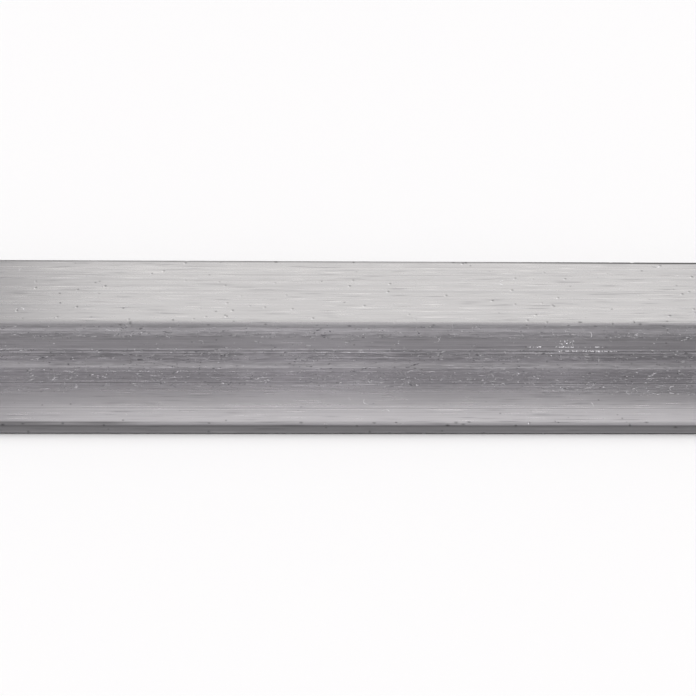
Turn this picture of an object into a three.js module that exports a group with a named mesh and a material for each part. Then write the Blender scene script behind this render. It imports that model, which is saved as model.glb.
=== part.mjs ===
// Equal-flange zee profile: one length of extruded aluminium, sawn square at both ends.
//
// Units are millimetres and +Z is up. The bar runs along X. Its section stands on the lower flange,
// which points towards -Y; the web rises on the XZ plane and the upper flange points towards +Y.
// The origin is under the middle of the web, on the plane that the lower flange rests on.
//
//              web   upper flange
//               |  ________________
//               |_|________________|     +Z
//               | |                       |
//    ___________| |                       |___ +Y
//   |_____________|
//    lower flange

import * as THREE from "three";

// Driving dimensions of the section.
const FLANGE_WIDTH = 15; // outside width of each flange, web included
const PROFILE_HEIGHT = 10; // outside height over both flanges
const WALL = 2; // the same in the web and in both flanges
const ROOT_FILLET = 1; // concave radius where a flange leaves the web
const EDGE_RADIUS = 0.4; // convex radius of every outer corner, heels and toes alike

// The bar.
const STOCK_LENGTH = 500;

// Facets along half of each quarter turn.
const ARC_DIVISIONS = 6;

/** A corner of the sharp outline, with the radius that rounds it. */
function corner(y, z, radius) {
  return { at: new THREE.Vector2(y, z), radius };
}

/**
 * The outline's eight corners, anticlockwise as seen from the +X end.
 *
 * A zee section looks the same after half a turn about its centre, so the lower flange's underside
 * and the rear of the web are written out, and the other four corners are those four turned.
 */
function sectionCorners() {
  const webFace = WALL / 2;
  const toe = FLANGE_WIDTH - webFace;
  const ledge = PROFILE_HEIGHT - WALL;
  const lowerRear = [
    corner(-toe, 0, EDGE_RADIUS),
    corner(webFace, 0, EDGE_RADIUS),
    corner(webFace, ledge, ROOT_FILLET),
    corner(toe, ledge, EDGE_RADIUS),
  ];
  const upperFront = lowerRear.map(({ at, radius }) => corner(-at.x, PROFILE_HEIGHT - at.y, radius));
  return [...lowerRear, ...upperFront];
}

/**
 * A closed shape from square corners, each rounded by a quarter circle that meets both its sides.
 * Convex and concave corners are told apart by the way the outline turns there.
 */
function roundedShape(corners) {
  const shape = new THREE.Shape();
  corners.forEach(({ at, radius }, i) => {
    const before = corners[(i + corners.length - 1) % corners.length].at;
    const after = corners[(i + 1) % corners.length].at;
    const incoming = at.clone().sub(before).normalize();
    const outgoing = after.clone().sub(at).normalize();
    const clockwise = incoming.cross(outgoing) < 0;

    // The arc's centre lies one radius from both sides, and its ends lie square to them.
    const centre = at.clone().addScaledVector(incoming, -radius).addScaledVector(outgoing, radius);
    const startAngle = outgoing.clone().negate().angle();
    const endAngle = incoming.angle();
    shape.absarc(centre.x, centre.y, radius, startAngle, endAngle, clockwise);
  });
  shape.closePath();
  return shape;
}

/** The section pushed along X, centred on the origin. */
function barGeometry() {
  const geometry = new THREE.ExtrudeGeometry(roundedShape(sectionCorners()), {
    depth: STOCK_LENGTH,
    steps: 1,
    curveSegments: ARC_DIVISIONS,
    bevelEnabled: false,
  });
  geometry.translate(0, 0, -STOCK_LENGTH / 2);

  // The shape's own x, y and depth become the part's Y, Z and X.
  const across = new THREE.Vector3(0, 1, 0);
  const up = new THREE.Vector3(0, 0, 1);
  const along = new THREE.Vector3(1, 0, 0);
  return geometry.applyMatrix4(new THREE.Matrix4().makeBasis(across, up, along));
}

const millFinishAluminium = new THREE.MeshStandardMaterial({
  color: 0xc8c7c9,
  roughness: 0.35,
  metalness: 1,
});

const profile = new THREE.Mesh(barGeometry(), millFinishAluminium);
profile.name = "zee_profile";

const part = new THREE.Group();
part.add(profile);

export default part;
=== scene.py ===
"""Looks of an equal-flange zee profile in mill-finish extruded aluminium.

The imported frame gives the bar's length, width and height. Around it this script makes the bar's
fine skin, with its die lines, nicked edges and sawn ends, scatters the small raised marks that the
die and handling left on it, and lays it on a pale floor under soft lamps.

The bar runs along X, its lower flange points towards -Y and the floor is at Z = 0. The frame, the
camera and the meshes are in metres. Sizes of the section and of its finish are in millimetres, as
names that end in _mm and the docstrings say.
"""

import logging
import math
import random
from dataclasses import dataclass, field
from enum import Enum
from typing import Any, Iterable

import bpy
from mathutils import Matrix, Vector


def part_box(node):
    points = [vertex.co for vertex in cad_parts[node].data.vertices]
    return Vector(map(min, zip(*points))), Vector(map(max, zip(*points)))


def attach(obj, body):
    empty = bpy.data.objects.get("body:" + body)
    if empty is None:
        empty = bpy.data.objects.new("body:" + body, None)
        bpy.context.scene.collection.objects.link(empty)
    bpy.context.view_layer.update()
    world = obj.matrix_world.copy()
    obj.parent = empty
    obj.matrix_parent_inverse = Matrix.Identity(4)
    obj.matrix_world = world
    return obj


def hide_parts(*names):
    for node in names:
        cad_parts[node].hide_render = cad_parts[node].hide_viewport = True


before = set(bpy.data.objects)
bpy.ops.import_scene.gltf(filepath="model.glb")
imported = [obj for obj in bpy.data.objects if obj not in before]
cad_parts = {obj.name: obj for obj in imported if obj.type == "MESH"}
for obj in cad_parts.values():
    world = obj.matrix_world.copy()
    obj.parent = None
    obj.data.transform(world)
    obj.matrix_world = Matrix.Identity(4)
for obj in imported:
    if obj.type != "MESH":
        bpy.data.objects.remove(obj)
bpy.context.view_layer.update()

LOG = logging.getLogger("zee_profile")
MM = 0.001
NODE = "zee_profile"
BODY = "root"
SEEDS_APART = 100


def linear(hex_colour: str) -> tuple[float, float, float, float]:
    """Turns an sRGB colour into the linear colour that shaders and lamps take.

    Args:
        hex_colour: six hexadecimal digits after a hash, such as "#c8c7c9".

    Returns:
        Red, green, blue and an alpha of 1.
    """

    def channel(start: int) -> float:
        """One channel from 0 to 1, in linear light, by the sRGB standard's curve."""
        value = int(hex_colour[start : start + 2], 16) / 255
        return value / 12.92 if value <= 0.04045 else ((value + 0.055) / 1.055) ** 2.4

    return channel(1), channel(3), channel(5), 1.0


def chance(seed: int, number: int) -> random.Random:
    """The random draws that a seed gives one of the section's numbered corners or faces."""
    return random.Random(seed * SEEDS_APART + number)


def add_node(
    tree: bpy.types.NodeTree,
    kind: str,
    inputs: dict[str | int, Any] | None = None,
    **settings: Any,
) -> bpy.types.Node:
    """Adds a node to a shader or geometry tree.

    Args:
        tree: the tree that gets the node.
        kind: the node's type name.
        inputs: a value for each input, or the output socket that feeds it, by the input's name or
            number.
        **settings: the node's own properties.

    Returns:
        The new node.
    """
    node = tree.nodes.new(kind)
    for name, value in settings.items():
        setattr(node, name, value)
    for key, value in (inputs or {}).items():
        if isinstance(value, bpy.types.NodeSocket):
            tree.links.new(value, node.inputs[key])
        else:
            node.inputs[key].default_value = value
    return node


def empty_material(name: str) -> bpy.types.Material:
    """Makes a material with no nodes yet.

    Args:
        name: the real finish that it stands for.

    Returns:
        The material, whose node tree is ready to be filled.
    """
    material = bpy.data.materials.new(name)
    material.use_nodes = True
    material.node_tree.nodes.clear()
    return material


class Face(Enum):
    """The section's flat faces, in the order in which the outline passes them.

    A distance along a face counts from the sharp corner before it: on the top from the rear, on the
    web's front from the top, and on the seat from the root.
    """

    UNDERSIDE = 0
    WEB_REAR = 1
    LEDGE = 2
    UPPER_TOE = 3
    TOP = 4
    WEB_FRONT = 5
    SEAT = 6
    LOWER_TOE = 7


@dataclass(frozen=True)
class Corner:
    """A corner of the sharp outline.

    Attributes:
        place: its (y, z), in millimetres.
        radius: the radius that rounds it, in millimetres.
        convex: False in the two roots, where metal fills the corner.
    """

    place: Vector
    radius: float
    convex: bool


@dataclass(frozen=True)
class RimPoint:
    """A point of the finished outline.

    Attributes:
        place: its (y, z), in millimetres.
        outward: the unit normal of the smooth outline there.
        corner: the number of the convex corner whose nicks can move the point, or None.
        along: how far past the middle of that corner's arc it lies, in millimetres.
        runs: X of both ends of a stretch of the bar, in millimetres, and how thickly pick-up and
            fresh grains lie there, from 0 to 1.
        tone: how much of the clean metal's brightness it keeps, painted shade and painted
            reflections included.
        cast: how far its painted tint of reflected light leans from neutral to violet, from 0 to 1.
    """

    place: Vector
    outward: Vector
    corner: int | None = None
    along: float = 0.0
    runs: tuple[tuple[float, float, float, float], ...] = ()
    tone: float = 1.0
    cast: float = 1.0

    def weights(self, x: float) -> tuple[float, float]:
        """How thickly raised marks lie at one place along the bar.

        Args:
            x: the place, in millimetres.

        Returns:
            The weight of the pick-up and that of the fresh grains, from 0 to 1.
        """
        here = [(pickup, fresh) for low, high, pickup, fresh in self.runs if low < x < high]
        return (
            max((pickup for pickup, _ in here), default=0.0),
            max((fresh for _, fresh in here), default=0.0),
        )


@dataclass(frozen=True)
class Groove:
    """One die line in a flat face, in millimetres.

    Attributes:
        centre: its middle, as a distance along the face.
        width: its width.
        depth: its depth, or its height where negative.
        tone: brightness of its bottom against the clean metal's.
    """

    centre: float
    width: float
    depth: float
    tone: float

    def share(self, distance: float) -> float:
        """How deep a point lies in it, from 0 at its rim to 1 at its bottom."""
        return max(0.0, 1 - abs(distance - self.centre) / (self.width / 2))

    def apart(self, other: "Groove") -> bool:
        """Whether the two leave each other clear."""
        return abs(self.centre - other.centre) > (self.width + other.width) / 2


@dataclass(frozen=True)
class DieBand:
    """A stretch of one face that a part of the die's bearing leaves its own way.

    Attributes:
        face: the flat face.
        start_mm: where the band begins, as a distance along the face.
        end_mm: where it ends.
        pickup: how thickly torn specks lie on it, from 0 to 1.
        fresh: how thickly fresh grains lie on it, from 0 to 1.
        tone: its brightness against the clean metal's.
        scoring: how many times stronger its random die lines are.
        ramp_mm: over what distance it begins and ends.
        stretch_mm: X of both ends of its specks and grains.
    """

    face: Face
    start_mm: float
    end_mm: float
    pickup: float = 0.0
    fresh: float = 0.0
    tone: float = 1.0
    scoring: float = 1.0
    ramp_mm: float = 0.3
    stretch_mm: tuple[float, float] = (-math.inf, math.inf)

    def share(self, face: Face, distance: float) -> float:
        """How far a point at that distance along a face is inside it, from 0 to 1."""
        inside = min(distance - self.start_mm, self.end_mm - distance) / self.ramp_mm
        return min(1.0, max(0.0, inside)) if face is self.face else 0.0


@dataclass(frozen=True)
class DieLines:
    """Shallow grooves that the die's bearing leaves all along the bar.

    Attributes:
        pitch_mm: mean gap between two random grooves.
        first_gap: smallest and largest gap before the first of them, as a share of the pitch.
        gap: the same between two.
        width_mm: narrowest and widest groove.
        depth_mm: shallowest and deepest groove.
        tone: darkest and brightest bottom of the random grooves.
        marked: the strong grooves and ridges, which have places of their own.
        seed: fixes the random grooves.
    """

    pitch_mm: float = 0.5
    first_gap: tuple[float, float] = (0.3, 1.0)
    gap: tuple[float, float] = (0.4, 1.6)
    width_mm: tuple[float, float] = (0.12, 0.30)
    depth_mm: tuple[float, float] = (0.001, 0.006)
    tone: tuple[float, float] = (0.93, 1.02)
    marked: dict[Face, tuple[Groove, ...]] = field(default_factory=dict)
    seed: int = 11

    def grooves(
        self, face: Face, start: float, end: float, bands: Iterable[DieBand]
    ) -> list[Groove]:
        """Places the grooves of one face.

        Args:
            face: the flat face.
            start: where grooves may begin, as a distance along the face in millimetres.
            end: where they must have ended.
            bands: stretches that may score the random grooves more strongly.

        Returns:
            The grooves, in order along the face.
        """
        rng = chance(self.seed, face.value)
        marked = self.marked.get(face, ())
        grooves = list(marked)
        place = start + rng.uniform(*self.first_gap) * self.pitch_mm
        while place < end:
            scoring = 1.0
            for band in bands:
                scoring *= 1 + (band.scoring - 1) * band.share(face, place)
            groove = Groove(
                centre=place,
                width=rng.uniform(*self.width_mm),
                depth=rng.uniform(*self.depth_mm) * scoring,
                tone=1 + (rng.uniform(*self.tone) - 1) * scoring,
            )
            inside = place - groove.width / 2 > start and place + groove.width / 2 < end
            if inside and all(groove.apart(line) for line in marked):
                grooves.append(groove)
            place += groove.width + rng.uniform(*self.gap) * self.pitch_mm
        return sorted(grooves, key=lambda groove: groove.centre)


@dataclass(frozen=True)
class ZeeSection:
    """The zee's outline, seen from the +X end, in millimetres.

    Attributes:
        width: outside width over both flanges.
        height: outside height over both flanges.
        wall: thickness of the web and both flanges.
        root_fillet: concave radius where a flange leaves the web.
        edge_radius: convex radius of every outer corner.
        arc_steps: facets in each quarter turn.
        nick_reach: how far from a convex corner's arc its nicks can reach.
        margins: where the columns of points beside such an arc lie, as shares of that. No nick
            reaches the last one, so the long plain faces beyond it stay flat.
        arc_painted_shading: brightness across each corner's arc in even steps, in the outline's
            order. On the convex arcs it is painted shade, mostly on their steep sides, which keeps
            them from mirroring the bright floor, and along the bottom edge it is a painted contact
            shadow. Across the root fillets it is painted light and shade.
        toe_painted_shade: brightness of the flanges' narrow toes. It is painted shade that keeps
            them as dark as if they mirrored a shadowed floor.
        root_pickup: how thickly pick-up lies in a root fillet, from 0 to 1.
        root_streaks: how much its die lines lighten or darken a root fillet.
        fade: how far from a corner's arc the faces are back at their own brightness, so how far the
            arcs' painted shade runs onto them.
        seed: fixes the die lines in the root fillets.
    """

    width: float
    height: float
    wall: float = 2.0
    root_fillet: float = 1.0
    edge_radius: float = 0.4
    arc_steps: int = 9
    nick_reach: float = 0.42
    margins: tuple[float, ...] = (0.3, 0.62, 1.0, 1.2)
    # Painted shade and light across each arc, in the outline's order. The first row is the painted
    # contact shadow along the bottom edge.
    arc_painted_shading: tuple[tuple[float, ...], ...] = (
        (0.50, 0.16, 0.05, 0.05, 0.20, 0.60),  # lower toe to underside
        (0.93, 1.00, 1.06, 0.93, 0.66, 0.60),  # rear heel
        (1.02, 0.97, 0.80, 0.95, 1.17, 1.15, 1.20),  # rear root
        (0.73, 0.80, 0.96, 0.72, 0.34, 0.25),  # ledge to upper toe
        (0.40, 0.45, 0.50, 0.55, 0.60),  # upper toe to top
        (0.93, 1.00, 1.06, 0.93, 0.66, 0.60),  # front heel
        (1.02, 0.97, 0.80, 0.95, 1.17, 1.15, 1.20),  # front root
        (0.73, 0.80, 0.96, 0.72, 0.34, 0.25),  # seat to lower toe
    )
    # Painted shade on the toes.
    toe_painted_shade: float = 0.35
    root_pickup: float = 0.5
    root_streaks: float = 0.09
    fade: float = 0.42
    seed: int = 31

    def corners(self) -> list[Corner]:
        """Places the corners of the sharp outline.

        Returns:
            The eight corners, anticlockwise, one before each face in Face's order. Four are
            written out, and the others are those four turned half a turn about the middle.
        """
        web = self.wall / 2
        toe = self.width / 2
        ledge = self.height - self.wall
        lower_rear = [
            Corner(Vector((-toe, 0.0)), self.edge_radius, True),
            Corner(Vector((web, 0.0)), self.edge_radius, True),
            Corner(Vector((web, ledge)), self.root_fillet, False),
            Corner(Vector((toe, ledge)), self.edge_radius, True),
        ]
        turned = [
            Corner(Vector((-c.place.x, self.height - c.place.y)), c.radius, c.convex)
            for c in lower_rear
        ]
        return lower_rear + turned

    def outline(self, lines: DieLines, bands: Iterable[DieBand]) -> list[RimPoint]:
        """Draws the rounded outline, with its die lines.

        Args:
            lines: the grooves in its flat faces.
            bands: the stretches of its flat faces that look unlike the rest.

        Returns:
            The outline's points, anticlockwise.
        """
        corners = self.corners()
        bands = tuple(bands)
        points: list[RimPoint] = []
        for face in Face:
            here = corners[face.value]
            before = corners[face.value - 1]
            after = corners[(face.value + 1) % len(corners)]
            incoming = (here.place - before.place).normalized()
            outgoing = (after.place - here.place).normalized()
            ended = Face((face.value - 1) % len(Face))
            points += self._arc(here, ended, face, incoming, outgoing)
            points += self._flat(face, here, after, outgoing, lines, bands)
        return points

    def _tone(self, face: Face, from_start: float, from_end: float) -> float:
        """Brightness of a flat face, which blends into that of the arcs at its ends. The toes' own
        darkness is painted shade, and so is most of what the arcs give.

        Args:
            face: the face.
            from_start: distance from the arc where it starts, in millimetres.
            from_end: distance from the arc where it ends.

        Returns:
            The brightness, against the clean metal's.
        """
        # The toes start from their painted shade, and the other faces from full brightness.
        own = self.toe_painted_shade if face in (Face.UPPER_TOE, Face.LOWER_TOE) else 1.0
        starts_at = self.arc_painted_shading[face.value][-1]
        ends_at = self.arc_painted_shading[(face.value + 1) % len(Face)][0]
        tone = own
        for edge_tone, distance in ((starts_at, from_start), (ends_at, from_end)):
            tone += (edge_tone - own) * max(0.0, 1 - distance / self.fade) ** 2
        return tone

    @staticmethod
    def _cast(face: Face) -> float:
        """How violet a face's painted tint of reflected light is: the two outermost ones are
        neutral.
        """
        return 0.0 if face in (Face.TOP, Face.UNDERSIDE) else 1.0

    def _arc(
        self, corner: Corner, ended: Face, begun: Face, incoming: Vector, outgoing: Vector
    ) -> list[RimPoint]:
        """The quarter circle that rounds one corner.

        Args:
            corner: the corner.
            ended: the face before it.
            begun: the face after it.
            incoming: unit direction of the face before it.
            outgoing: unit direction of the face after it.

        Returns:
            The arc's points, both ends included.
        """
        rng = chance(self.seed, begun.value)
        tones = self.arc_painted_shading[begun.value]
        centre = corner.place + corner.radius * (outgoing - incoming)
        points = []
        for step in range(self.arc_steps + 1):
            share = step / self.arc_steps
            turn = math.pi / 2 * share
            spoke = incoming * math.sin(turn) - outgoing * math.cos(turn)
            cast = self._cast(ended) + (self._cast(begun) - self._cast(ended)) * share
            key = min(int(share * (len(tones) - 1)), len(tones) - 2)
            tone = tones[key] + (tones[key + 1] - tones[key]) * (share * (len(tones) - 1) - key)
            if corner.convex:
                point = RimPoint(
                    place=centre + corner.radius * spoke,
                    outward=spoke,
                    corner=begun.value,
                    along=corner.radius * (turn - math.pi / 4),
                    tone=tone,
                    cast=cast,
                )
            else:
                point = RimPoint(
                    place=centre + corner.radius * spoke,
                    outward=-spoke,
                    runs=((-math.inf, math.inf, self.root_pickup, 0.0),),
                    tone=tone * (1 + rng.uniform(-1, 1) * self.root_streaks),
                    cast=cast,
                )
            points.append(point)
        return points

    def _flat(
        self,
        face: Face,
        here: Corner,
        after: Corner,
        outgoing: Vector,
        lines: DieLines,
        bands: tuple[DieBand, ...],
    ) -> list[RimPoint]:
        """One flat face, without its two ends, which belong to the arcs.

        Args:
            face: the face.
            here: the corner it starts from.
            after: the corner it runs to.
            outgoing: its unit direction.
            lines: the grooves in its surface.
            bands: the bands of all faces.

        Returns:
            The points where the surface bends, its looks change or a nick may move it.
        """
        start = here.radius
        end = (after.place - here.place).length - after.radius
        outward = Vector((outgoing.y, -outgoing.x))
        half_arc = self.edge_radius * math.pi / 4
        margins = [self.nick_reach * share for share in self.margins]
        first_groove = start + (margins[-1] if here.convex else 0.0)
        last_groove = end - (margins[-1] if after.convex else 0.0)
        grooves = lines.grooves(face, first_groove, last_groove, bands)

        def point(distance: float, corner: int | None = None, along: float = 0.0) -> RimPoint:
            """One point of the face.

            Args:
                distance: how far along the face it lies.
                corner: the number of the convex corner whose nicks can move it, or None.
                along: how far past the middle of that corner's arc it lies.

            Returns:
                The point, moved by the groove that it lies in.
            """
            shares = [(groove, groove.share(distance)) for groove in grooves]
            inside = [(band, band.share(face, distance)) for band in bands]
            depth = sum(groove.depth * share for groove, share in shares)
            tone = self._tone(face, distance - start, end - distance)
            for mark, share in shares + inside:
                tone *= 1 + (mark.tone - 1) * share
            return RimPoint(
                place=here.place + outgoing * distance - outward * depth,
                outward=outward,
                corner=corner,
                along=along,
                runs=tuple(
                    (*band.stretch_mm, band.pickup * share, band.fresh * share)
                    for band, share in inside
                    if share * (band.pickup + band.fresh) > 0
                ),
                tone=tone,
                cast=self._cast(face),
            )

        between = {g.centre + side * g.width / 2 for g in grooves for side in (-1, 0, 1)}
        for band in bands:
            if band.face is face:
                between |= {band.start_mm, band.start_mm + band.ramp_mm}
                between |= {band.end_mm - band.ramp_mm, band.end_mm}
        between |= {start + self.fade, end - self.fade}
        points = []
        if here.convex:
            points += [point(start + m, face.value, half_arc + m) for m in margins]
        points += [point(d) for d in sorted(between) if first_groove < d < last_groove]
        if after.convex:
            number = (face.value + 1) % len(Face)
            points += [point(end - m, number, -half_arc - m) for m in reversed(margins)]
        return points


@dataclass(frozen=True)
class Nick:
    """A dent in a convex edge, in millimetres.

    Attributes:
        x: its middle along the bar.
        half_length: half its length along the bar.
        along: its middle round the edge, from the middle of the arc.
        half_width: half its width round the edge.
        depth: how far it is pushed in.
    """

    x: float
    half_length: float
    along: float
    half_width: float
    depth: float

    def share(self, x: float, along: float) -> float:
        """How deep in the dent a point lies.

        Args:
            x: where it is along the bar.
            along: where it is round the edge, from the middle of the arc.

        Returns:
            0 at the dent's rim and beyond, and 1 at its middle.
        """
        lengthwise = (x - self.x) / self.half_length
        crosswise = (along - self.along) / self.half_width
        reach = lengthwise**2 + crosswise**2
        return (1 - reach) ** 2 if reach < 1 else 0.0


@dataclass(frozen=True)
class EdgeNicks:
    """Handling nicks along one convex edge.

    Attributes:
        spacing_mm: mean gap between two nicks.
        first_gap: smallest and largest gap before the first one, as a share of the spacing.
        clear_end_mm: length beside the far end that stays free of nicks.
        half_length_mm: shortest and longest half length.
        half_width_mm: narrowest and widest half width round the edge.
        depth_mm: shallowest and deepest nick.
        tone: brightness of a nick's bottom, which holds dirt. In a marked stretch of painted shade
            it is that shade's darkest.
        marked: long stretches of some edges, dents and stretches of painted shade, by the number of
            the edge's corner.
        seed: fixes where the random ones are.
    """

    spacing_mm: float = 6.0
    first_gap: tuple[float, float] = (0.5, 1.5)
    clear_end_mm: float = 1.0
    half_length_mm: tuple[float, float] = (0.10, 0.38)
    half_width_mm: tuple[float, float] = (0.16, 0.34)
    depth_mm: tuple[float, float] = (0.03, 0.10)
    tone: float = 0.5
    marked: dict[int, tuple[Nick, ...]] = field(default_factory=dict)
    seed: int = 5

    def along_edge(self, corner: int, length_mm: float, reach_mm: float) -> list[Nick]:
        """Draws the nicks of one edge.

        Args:
            corner: the edge's number, which gives each edge its own nicks.
            length_mm: the bar's length.
            reach_mm: the greatest distance round the edge from the middle of its arc.

        Returns:
            The random nicks, then the marked ones.
        """
        rng = chance(self.seed, corner)
        shortest, longest = self.half_length_mm
        nicks = []
        x = -length_mm / 2 + rng.uniform(*self.first_gap) * self.spacing_mm
        while x < length_mm / 2 - self.clear_end_mm:
            # Squared, so that more nicks are long than short.
            shortness = rng.random() ** 2
            half_length = longest + shortness * (shortest - longest)
            half_width = rng.uniform(*self.half_width_mm)
            nicks.append(
                Nick(
                    x=x,
                    half_length=half_length,
                    along=rng.uniform(-1.0, 1.0) * (reach_mm - half_width),
                    half_width=half_width,
                    depth=rng.uniform(*self.depth_mm),
                )
            )
            x += 2 * half_length + rng.expovariate(1 / self.spacing_mm)
        return nicks + list(self.marked.get(corner, ()))


@dataclass(frozen=True)
class MillFinish:
    """Mill-finish extruded aluminium: as it leaves the die, neither polished nor anodised.

    The die's bearing draws fine lines all along the bar, so it mirrors its surroundings fairly
    sharply along the lines and smears them across. Here and there a line stands out for a few
    millimetres. The bar's tone darkens its edges and toes with painted shade, and torn metal greys
    the bands where the die picked up.

    The finest real lines are a few hundredths of a millimetre wide, too fine to show one by one, so
    the anisotropy stands for them. The lines that are drawn are the coarser ones among them, from
    about a sixth of a millimetre wide.

    Attributes:
        metal: colour of the cleanest lines.
        dull: colour of the dullest lines.
        torn: colour between the specks of a band of pick-up.
        neutral_tint: painted tint of the light that the faces with no cast mirror.
        violet: painted tint, violet, of the light that the faces with a cast mirror.
        edge_on: how much of the mirroring is left where the surface is seen almost edge on. Bare
            aluminium keeps nearly all, and the oxide and dirt on it take some away.
        roughness: of the clean metal.
        line_roughness: how much the dullest lines add to it.
        worn_roughness: how much torn bands and darkened places, the painted shade of the edges and
            toes among them, add to it.
        dirt_roughness: how much more the darkest places add, where the tone is dirt and painted
            shade.
        caking: how late that rises as the brightness falls, so only the darkest places are matt.
        anisotropy: how much rougher it is across the lines than along them.
        line_mm: width of the long lines, and the length over which one changes.
        line_level: how clean they are on average, from 0 for the dullest to 1.
        line_share: how much they change that.
        streak_mm: width and length of the short streaks.
        streak_gain: how far the streaks' noise is spread.
        streak_offset: what then brings its middle to about 0.
        streak_share: how much a strong streak changes the cleanness.
        tear_mm: width and length of the tears in a band of pick-up.
        score_mm: the same of the long scores in it.
        tear_range: sum of both noises where the metal is whole, and where it is torn through.
        relief_mm: height of the lines and streaks.
        tear_relief_mm: height of the tears.
        pit_cell_mm: how far apart small dark pits lie, before the surface cuts through only a few.
        pit_reach: a pit's radius, as a share of that.
        pit_tone: the brightness of a pit's bottom.
        ding_cell_mm: the same distance for the dings that handling leaves in the outermost faces.
        ding_reach: a ding's radius, as a share of that.
        ding_tone: the brightness of a ding's bottom.
        rim_painted_highlight: the brightness of a painted highlight beside each ding, on its lit
            side.
        rim_shift_mm: how far that lies from the ding, along the bar and across it.
        rub_cell_mm: how far apart short lines that rubbing left across the bar lie, along it and
            across it.
        rub_reach: half such a line's width and length, as a share of that.
        rub_tone: its brightness.
        dent_relief_mm: depth of the pits and dings.
    """

    metal: str = "#f0eff1"
    dull: str = "#cbcacd"
    torn: str = "#bab9bc"
    neutral_tint: str = "#fbfbf9"
    violet: str = "#fbfafb"
    edge_on: str = "#989898"
    roughness: float = 0.25
    line_roughness: float = 0.06
    worn_roughness: float = 0.12
    dirt_roughness: float = 0.4
    caking: float = 6.0
    anisotropy: float = 0.95
    line_mm: tuple[float, float] = (0.17, 90.0)
    line_level: float = 0.54
    line_share: float = 0.5
    streak_mm: tuple[float, float] = (0.21, 5.0)
    streak_gain: float = 3.0
    streak_offset: float = -1.58
    streak_share: float = 0.58
    tear_mm: tuple[float, float] = (0.20, 1.6)
    score_mm: tuple[float, float] = (0.24, 10.0)
    tear_range: tuple[float, float] = (0.74, 1.26)
    relief_mm: float = 0.0015
    tear_relief_mm: float = 0.022
    pit_cell_mm: float = 2.6
    pit_reach: float = 0.085
    pit_tone: float = 0.5
    ding_cell_mm: float = 2.1
    ding_reach: float = 0.125
    ding_tone: float = 0.42
    rim_painted_highlight: float = 1.40
    rim_shift_mm: float = 0.20
    rub_cell_mm: tuple[float, float] = (2.0, 22.0)
    rub_reach: float = 0.05
    rub_tone: float = 1.16
    dent_relief_mm: float = 0.03

    @staticmethod
    def _ruled(
        tree: bpy.types.NodeTree, place: bpy.types.NodeSocket, size_mm: tuple[float, float]
    ) -> bpy.types.NodeSocket:
        """Dead straight lines along the bar, side by side, each with its own slow noise.

        Args:
            tree: the material's tree.
            place: the place on the bar.
            size_mm: a line's width and the length over which it changes.

        Returns:
            The noise, from 0 to 1.
        """
        width, length = size_mm
        # The start keeps the steps from one line to the next off the section's flat faces.
        start = 0.3
        # Along the bar the noise is read in steps too short to show, and across it line by line.
        unseen_step = 0.001
        # Neighbouring lines read far-apart places of the noise, so they have nothing in common.
        reading_gap = 3.7
        scaled = add_node(
            tree,
            "ShaderNodeMapping",
            {
                "Vector": place,
                "Location": (0.0, start, start),
                "Scale": (1 / (length * MM), 1 / (width * MM), 1 / (width * MM)),
            },
        ).outputs["Vector"]
        line = add_node(
            tree, "ShaderNodeVectorMath", {0: scaled, 1: (unseen_step, 1.0, 1.0)}, operation="SNAP"
        ).outputs["Vector"]
        apart = add_node(
            tree,
            "ShaderNodeVectorMath",
            {0: line, 1: (1.0, reading_gap, reading_gap)},
            operation="MULTIPLY",
        ).outputs["Vector"]
        noise = {"Vector": apart, "Scale": 1.0, "Detail": 0.0}
        return add_node(tree, "ShaderNodeTexNoise", noise).outputs["Fac"]

    def _marks(self, tree: bpy.types.NodeTree, place: bpy.types.NodeSocket) -> bpy.types.NodeSocket:
        """The die's lines: faint long ones, and a few strong short ones.

        Args:
            tree: the material's tree.
            place: the place on the bar.

        Returns:
            0 where a line is dullest and 1 where it is cleanest.
        """
        lines = self._ruled(tree, place, self.line_mm)
        streaks = self._ruled(tree, place, self.streak_mm)
        # Cubed, so that most streaks fade away and only the strongest stay.
        streaks = add_node(
            tree,
            "ShaderNodeMath",
            {0: streaks, 1: self.streak_gain, 2: self.streak_offset},
            operation="MULTIPLY_ADD",
        ).outputs[0]
        squared = add_node(
            tree, "ShaderNodeMath", {0: streaks, 1: streaks}, operation="MULTIPLY"
        ).outputs[0]
        cubed = add_node(
            tree, "ShaderNodeMath", {0: squared, 1: streaks}, operation="MULTIPLY"
        ).outputs[0]
        lines = add_node(
            tree,
            "ShaderNodeMath",
            {0: lines, 1: self.line_share, 2: self.line_level - self.line_share / 2},
            operation="MULTIPLY_ADD",
        ).outputs[0]
        return add_node(
            tree,
            "ShaderNodeMath",
            {0: cubed, 1: self.streak_share, 2: lines},
            operation="MULTIPLY_ADD",
            use_clamp=True,
        ).outputs[0]

    def _tears(self, tree: bpy.types.NodeTree, place: bpy.types.NodeSocket) -> bpy.types.NodeSocket:
        """The torn ground of a band of pick-up: short tears between long scores.

        Args:
            tree: the material's tree.
            place: the place on the bar.

        Returns:
            1 in the deepest tears and 0 between them.
        """
        both = add_node(
            tree,
            "ShaderNodeMath",
            {0: self._ruled(tree, place, self.tear_mm), 1: self._ruled(tree, place, self.score_mm)},
            operation="ADD",
        ).outputs[0]
        whole, torn = self.tear_range
        inputs = {"Value": both, "From Min": whole, "From Max": torn}
        return add_node(tree, "ShaderNodeMapRange", inputs).outputs["Result"]

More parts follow.
